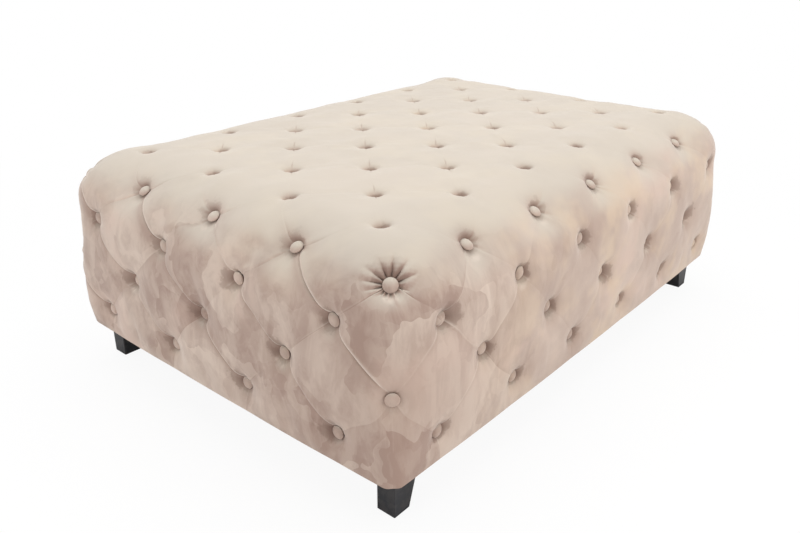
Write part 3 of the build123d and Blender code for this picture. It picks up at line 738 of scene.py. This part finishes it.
# A material: numbers that are the same all over go straight on the shader's sockets
class Finish:
    def __init__(self, name, **fixed):
        self.material = bpy.data.materials.new(name)
        self.material.use_nodes = True
        self.tree = self.material.node_tree
        self.shader = self.tree.nodes["Principled BSDF"]
        for socket, value in fixed.items():
            self.shader.inputs[socket.replace("_", " ")].default_value = value
        self.place = self.node("ShaderNodeTexCoord", output="Object")

    def node(self, kind, settings=None, sockets=None, output=0):
        made = self.tree.nodes.new(kind)
        for key, value in (settings or {}).items():
            setattr(made, key, value)
        for key, value in (sockets or {}).items():
            if isinstance(value, Signal):
                self.tree.links.new(value.socket, made.inputs[key])
            else:
                made.inputs[key].default_value = value
        return Signal(self, made.outputs[output])

    def vectors(self, operation, *values, output="Vector"):
        return self.node("ShaderNodeVectorMath", {"operation": operation}, dict(enumerate(values)), output)

    def axis(self, vector, n):
        return self.node("ShaderNodeSeparateXYZ", {}, {0: vector}, output=n)

    def stretched(self, scale, turn=(0, 0, 0)):
        return self.node("ShaderNodeMapping", {}, {"Vector": self.place, "Scale": scale, "Rotation": turn})

    def noise(self, scale, detail=3.0, roughness=0.5, distortion=0.0, where=None):
        return self.node("ShaderNodeTexNoise", {}, {
            "Vector": where or self.place, "Scale": scale, "Detail": detail, "Roughness": roughness,
            "Distortion": distortion})

    def cells(self, scale, where=None):
        return self.node("ShaderNodeTexVoronoi", {}, {"Vector": where or self.place, "Scale": scale})

    def waves(self, scale, distortion, detail, where):
        return self.node("ShaderNodeTexWave", {"bands_direction": "DIAGONAL"}, {
            "Vector": where, "Scale": scale, "Distortion": distortion, "Detail": detail})

    def read(self, name):
        return self.node("ShaderNodeAttribute", {"attribute_name": name}, output="Fac")

    def blend(self, factor, first, second):
        return self.node("ShaderNodeMix", {"data_type": "RGBA", "clamp_factor": True},
                         {0: factor, 6: first, 7: second}, output=2)

    def set(self, **signals):
        for socket, signal in signals.items():
            self.tree.links.new(signal.socket, self.shader.inputs[socket.replace("_", " ")])

    def bump(self, height, distance, strength=1.0, under=None):
        sockets = {"Height": height, "Distance": distance, "Strength": strength}
        if under:
            sockets["Normal"] = under
        return self.node("ShaderNodeBump", {}, sockets)

    def on(self, *pieces):
        for piece in pieces:
            slots = piece.data.materials
            if len(slots):
                for n in range(len(slots)):
                    slots[n] = self.material
            else:
                slots.append(self.material)


# Velvet: the nap lies a little differently in each diamond and where it was brushed. The cream of upturned faces, the
# pale cream of fold edges and the deep brown of hollows are painted light and shade.
velvet = {
    "lit": paint(200, 192, 179), "plain": paint(211, 192, 178), "brushed": paint(164, 138, 126),
    "blush": paint(213, 186, 172), "shadeBrown": paint(112, 84, 72), "sheen": 0.55, "sheenRough": 0.38,
    "peach": paint(217, 194, 168), "highlightCream": paint(226, 211, 198), "rose": paint(158, 128, 114),
    # How strong the marks are on faces along X, Y and Z, and where along X the long sides gain them
    "nap": (1.0, 0.22, 0.08), "nearEnd": (-0.48, -0.12),
    "roseAt": (-0.60, -0.43, 0.14), "roseReach": (0.06, 0.30), "fadeAlong": (-8.0, 8.0, 6.0),
    "broad": 5.5, "drift": 16, "bend": 0.12, "large": 13, "small": 34, "brush": 34, "torn": 70,
    "weave": 160, "fine": 900,
}


# The cover also reads its dimples and its folds, which carry painted shade and painted highlights, and each diamond's
# tone; the buttons have none
def velvetFinish(name, attributes):
    cloth = Finish(name, Roughness=0.86, Sheen_Weight=velvet["sheen"], Sheen_Roughness=velvet["sheenRough"],
                   Sheen_Tint=(1.0, 0.95, 0.90, 1), Specular_IOR_Level=0.25)
    broad = cloth.noise(velvet["broad"], 4, 0.55, 0.4)
    facing = cloth.node("ShaderNodeNewGeometry", output="Normal")
    square = cloth.vectors("MULTIPLY", facing, facing)
    nap = cloth.vectors("DOT_PRODUCT", square, velvet["nap"], output="Value")
    nap = nap + (1 - cloth.axis(cloth.place, 0).between(*velvet["nearEnd"])) * cloth.axis(square, 1) * 0.8

    drift = cloth.noise(velvet["drift"], 2.5, 0.48).other(1)
    bent = cloth.vectors("MULTIPLY_ADD", drift, (velvet["bend"],) * 3,
                         cloth.stretched((1, 1, 0.75), (0.35, 0.2, 0.5)))
    patch = cloth.cells(velvet["large"], bent)
    fromMiddle = cloth.vectors("SUBTRACT", bent, patch.other("Position"))
    fading = cloth.vectors("DOT_PRODUCT", fromMiddle, velvet["fadeAlong"], output="Value").between(-0.5, 0.4)
    large = cloth.axis(patch.other("Color"), 0)
    small = cloth.axis(cloth.cells(velvet["small"], bent).other("Color"), 0)
    brushed = cloth.noise(velvet["brush"], 4, 0.65, 0.6, cloth.stretched((1, 0.7, 0.3), (0.45, 0.3, 0.3)))
    marks = (large - 0.5) * (fading * 0.68 + 0.12) + (small - 0.5) * 0.14
    marks = marks + (brushed.between(0.36, 0.64) - 0.5) * 0.42
    if attributes:
        marks = marks + cloth.read("tone") * 0.34
    marks = marks * nap + broad.between(0.36, 0.64) * 0.3 + 0.38

    upward = cloth.axis(facing, 2).between(0.35, 0.95)
    colour = cloth.blend(marks, velvet["brushed"], velvet["plain"])
    colour = cloth.blend(broad.between(0.5, 0.68) * 0.5, colour, velvet["blush"])
    colour = cloth.blend(cloth.noise(8, 3, 0.6).between(0.46, 0.66) * (1 - nap) * 0.75, colour, velvet["peach"])
    away = cloth.vectors("DISTANCE", cloth.place, velvet["roseAt"], output="Value")
    cloud = (1 - away.between(*velvet["roseReach"])) * (broad.between(0.36, 0.6) * 0.28 + 0.16)
    colour = cloth.blend(cloud, colour, velvet["rose"])
    # Faces that turn up take the lit cream: painted light from above and painted sheen
    colour = cloth.blend(upward * 0.8, colour, velvet["lit"])
    if attributes:
        # Painted shade in the dimples, with ragged edges and less of it on faces that turn up
        hollowShade, torn = cloth.read("dimpleShade"), cloth.noise(velvet["torn"], 3, 0.65)
        raggedShade = (hollowShade + (torn - 0.5) * 0.8).between(0.34, 0.50)
        colour = cloth.blend(raggedShade * (1 - upward * 0.8) * 0.34 + hollowShade ** 2.2 * 0.6, colour, velvet["shadeBrown"])
        # Fold edges and lips under the buttons get a painted highlight in the pale cream; the under side of folds and
        # the thin creases get painted shade in the brushed colour
        paintedShading = cloth.read("paintedShading")
        colour = cloth.blend(paintedShading.between(0.10, 0.65) * 0.6, colour, velvet["highlightCream"])
        colour = cloth.blend((0 - paintedShading).between(0.05, 0.9) * 0.5, colour, velvet["brushed"])

    fine, weave = cloth.noise(velvet["fine"], 2, 0.6), cloth.noise(velvet["weave"], 3, 0.6)
    colour = cloth.blend(fine * 0.10, colour, velvet["lit"])
    relief = cloth.bump(fine, 0.0004, 0.35, cloth.bump(weave, 0.0006, 0.30))
    cloth.set(Base_Color=colour, Normal=relief, Roughness=0.78 + brushed * 0.18)
    return cloth


velvetFinish("velvet", True).on(tuftedCover)
velvetFinish("buttonVelvet", False).on(*coveredButtons.values())
print("velvet made")


# A hard material, uneven in tone, with a fine grain
def mottledFinish(name, low, high, scale, grainScale, roughness):
    finish = Finish(name)
    tone = finish.noise(scale, 4, 0.6, 0.3)
    finish.set(Base_Color=finish.blend(tone.between(0.3, 0.7), low, high),
               Roughness=roughness - 0.06 + tone * 0.12,
               Normal=finish.bump(finish.noise(grainScale, 3, 0.6), 0.0002, 0.6))
    return finish


def legFinish():
    wood = Finish("blackStainedWood", Coat_Roughness=0.25)
    grain = wood.noise(38, 5, 0.62, 0.6, wood.stretched((1, 1, 0.07)))
    pores = wood.noise(420, 2, 0.5, 0, wood.stretched((1, 1, 0.05)))
    rubbed = wood.noise(55, 3, 0.6)
    edge = wood.node("ShaderNodeNewGeometry", output="Pointiness").between(0.53, 0.60)
    colour = wood.blend(grain.between(0.35, 0.7), paint(20, 21, 26), paint(29, 30, 36))
    colour = wood.blend(pores.between(0.55, 0.75) * 0.4, colour, paint(14, 14, 17))
    colour = wood.blend(edge * rubbed.between(0.45, 0.6) * 0.35, colour, paint(66, 62, 60))
    wood.set(Base_Color=colour, Roughness=0.42 + grain * 0.12,
             Normal=wood.bump(grain, 0.0006, 0.35, wood.bump(pores, 0.0002, 0.4)))
    return wood


# Plywood or pine, with its grain along one axis
def boardFinish(name, axis):
    board = Finish(name)
    stretch = [3.0, 3.0, 3.0]
    stretch[axis] = 0.35
    grain = board.noise(16, 5, 0.6, 1.2, board.stretched(tuple(stretch)))
    rings = board.waves(9, 7, 3, board.stretched(tuple(stretch)))
    colour = board.blend(grain.between(0.3, 0.7), paint(196, 158, 112), paint(222, 190, 146))
    colour = board.blend(rings * 0.30, colour, paint(168, 128, 86))
    board.set(Base_Color=colour, Roughness=0.62 + grain * 0.15, Normal=board.bump(grain, 0.0005, 0.5))
    return board


def foamFinish():
    foam = Finish("foam", Roughness=0.95)
    cell = foam.cells(420)
    patch = foam.noise(6, 2)
    foam.set(Base_Color=foam.blend(patch, paint(232, 222, 178), paint(240, 233, 200)),
             Normal=foam.bump(cell, 0.0008, 0.7))
    return foam


def woolFinish(name, low, high):
    wool = Finish(name, Roughness=0.95, Sheen_Weight=0.3)
    strand = wool.noise(220, 4, 0.75, 1.5)
    lump = wool.noise(24, 3, 0.6)
    wool.set(Base_Color=wool.blend(strand, low, high), Normal=wool.bump(strand + lump, 0.0012, 0.7))
    return wool


def dustClothFinish():
    cloth = Finish("dustCloth", Sheen_Weight=0.15)
    fibre = cloth.noise(260, 4, 0.8, 2.0)
    dots = cloth.cells(260)
    relief = cloth.bump(dots, 0.0004, 0.6, cloth.bump(fibre, 0.0003, 0.6))
    cloth.set(Base_Color=cloth.blend(fibre, paint(16, 16, 17), paint(40, 40, 43)),
              Roughness=0.80 + fibre * 0.15, Normal=relief)
    return cloth


def steelFinish():
    steel = Finish("zincedSteel", Metallic=1.0)
    tarnish = steel.noise(90, 3, 0.6)
    scratch = steel.noise(700, 2, 0.5, 0, steel.stretched((1, 0.1, 1)))
    steel.set(Base_Color=steel.blend(tarnish, paint(166, 168, 170), paint(206, 206, 202)),
              Roughness=0.28 + tarnish * 0.22, Normal=steel.bump(scratch, 0.0001, 0.3))
    return steel


# Finishes of the frame's own parts, by the first words of their names
plastic = mottledFinish("glidePlastic", paint(120, 120, 118), paint(140, 140, 138), 60, 500, 0.5)
turnedWood = mottledFinish("toggleWood", paint(188, 146, 98), paint(216, 178, 128), 120, 400, 0.6)
steelParts = ("corner_nails", "deck_screws", "panel_screws", "hanger_bolts", "threaded_inserts", "hem_staples")
partFinishes = [
    (("leg_glide",), plastic),
    (("leg",), legFinish()),
    (("dust_cover",), dustClothFinish()),
    (("deck_board", "panel_front", "panel_back"), boardFinish("plywoodLong", 0)),
    (("panel_left", "panel_right"), boardFinish("plywoodEnd", 1)),
    (("corner_post",), boardFinish("pinePost", 2)),
    (("bottom_rail_front", "bottom_rail_back"), boardFinish("pineLong", 0)),
    (("bottom_rail", "bottom_cross_rail", "cross_rail"), boardFinish("pineAcross", 1)),
    (("foam",), foamFinish()),
    (("wadding",), woolFinish("wadding", paint(226, 224, 218), paint(246, 245, 242))),
    (("twine",), woolFinish("twine", paint(176, 152, 112), paint(214, 194, 156))),
    (("toggles",), turnedWood),
    (steelParts, steelFinish()),
]
finished = []
for name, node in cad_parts.items():
    for words, finish in partFinishes:
        if name.startswith(words):
            finish.on(node)
            finished.append(name)
            break
print("frame parts finished:", len(finished))

slots = {"velvet": [tuftedCover, *coveredButtons.values()]}
for slot, pieces in slots.items():
    for piece in pieces:
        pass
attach(tuftedCover, "root")
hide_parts("velvet_cover")
for zone, piece in coveredButtons.items():
    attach(piece, "root")
    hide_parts("buttons_" + zone)
print("pieces on the frame")

# Floor, light and camera
studio = {
    "floor": 12.0, "glow": 0.92, "glowReach": (0.7, 2.0), "sky": 0.55,
    "topPower": 43.5, "frontPower": 27, "leftPower": 14.5, "backPower": 8,
}


# A floor that looks white from afar and keeps the table's soft shadow
def addFloor():
    bpy.ops.object.select_all(action="DESELECT")
    bpy.ops.mesh.primitive_plane_add(size=studio["floor"], location=(0, 0, 0))
    floor = bpy.context.active_object
    floor.name = "studioFloor"
    finish = Finish("studioFloor", Roughness=0.9)
    shade = finish.noise(0.8, 2)
    finish.set(Base_Color=finish.blend(shade, paint(243, 243, 243), paint(247, 247, 247)))
    far = finish.vectors("LENGTH", finish.place, output="Value").between(*studio["glowReach"])
    seen = finish.node("ShaderNodeLightPath", output="Is Camera Ray") * (studio["glow"] + far * (1 - studio["glow"]))
    glow = finish.node("ShaderNodeEmission", {}, {"Strength": 1.0})
    both = finish.node("ShaderNodeMixShader", {}, {0: seen, 1: Signal(finish, finish.shader.outputs[0]), 2: glow})
    finish.tree.links.new(both.socket, finish.tree.nodes["Material Output"].inputs[0])
    finish.on(floor)


def addLamp(name, place, aim, size, power, colour=(1, 1, 1)):
    lamp = bpy.data.lights.new(name, "AREA")
    lamp.shape, lamp.size, lamp.size_y = "RECTANGLE", size[0], size[1]
    lamp.energy, lamp.color = power, colour
    piece = bpy.data.objects.new(name, lamp)
    bpy.context.scene.collection.objects.link(piece)
    piece.location = place
    piece.rotation_euler = (Vector(aim) - Vector(place)).to_track_quat("-Z", "Y").to_euler()


# A white sky that lights the table less than it shows
def addSky():
    world = bpy.data.worlds.new("studio")
    bpy.context.scene.world = world
    world.use_nodes = True
    tree = world.node_tree
    sky = tree.nodes["Background"]
    sky.inputs["Color"].default_value = (1, 1, 1, 1)
    rays = tree.nodes.new("ShaderNodeLightPath")
    strength = tree.nodes.new("ShaderNodeMix")
    either = tree.nodes.new("ShaderNodeMath")
    either.operation = "MAXIMUM"
    tree.links.new(rays.outputs["Is Camera Ray"], either.inputs[0])
    tree.links.new(rays.outputs["Is Glossy Ray"], either.inputs[1])
    tree.links.new(either.outputs[0], strength.inputs[0])
    strength.inputs[2].default_value = studio["sky"]
    strength.inputs[3].default_value = 1.0
    tree.links.new(strength.outputs[0], sky.inputs["Strength"])


# The photo's camera, as solved from the buttons
view = {"place": (-1.2380, -0.9840, 0.8251), "yaw": 40.52, "pitch": 24.08, "roll": 0.157, "lens": 34.94}


def addCamera():
    yaw, pitch, roll = (math.radians(view[k]) for k in ("yaw", "pitch", "roll"))
    ahead = Vector((math.cos(yaw) * math.cos(pitch), math.sin(yaw) * math.cos(pitch), -math.sin(pitch)))
    camera = bpy.data.cameras.new("camera")
    camera.lens, camera.sensor_width, camera.clip_end = view["lens"], 36, 50
    piece = bpy.data.objects.new("camera", camera)
    bpy.context.scene.collection.objects.link(piece)
    piece.location = view["place"]
    turn = ahead.to_track_quat("-Z", "Y").to_matrix() @ Matrix.Rotation(roll, 3, "Z")
    piece.rotation_euler = turn.to_euler()
    bpy.context.scene.camera = piece


addFloor()
addSky()
addLamp("overhead", (0.2, 0.1, 2.6), (0, 0, 0.3), (3.2, 2.6), studio["topPower"])
addLamp("frontSoft", (0.35, -2.8, 1.5), (0, 0, 0.25), (2.4, 1.8), studio["frontPower"], (1.0, 0.98, 0.95))
addLamp("leftSoft", (-2.8, 0.2, 1.4), (0, 0, 0.25), (2.0, 1.8), studio["leftPower"])
addLamp("backSoft", (0.4, 2.8, 1.8), (0, 0, 0.3), (2.4, 1.8), studio["backPower"])
addCamera()
bpy.context.scene.view_settings.view_transform = "Standard"
print("studio set")

bpy.context.view_layer.update()
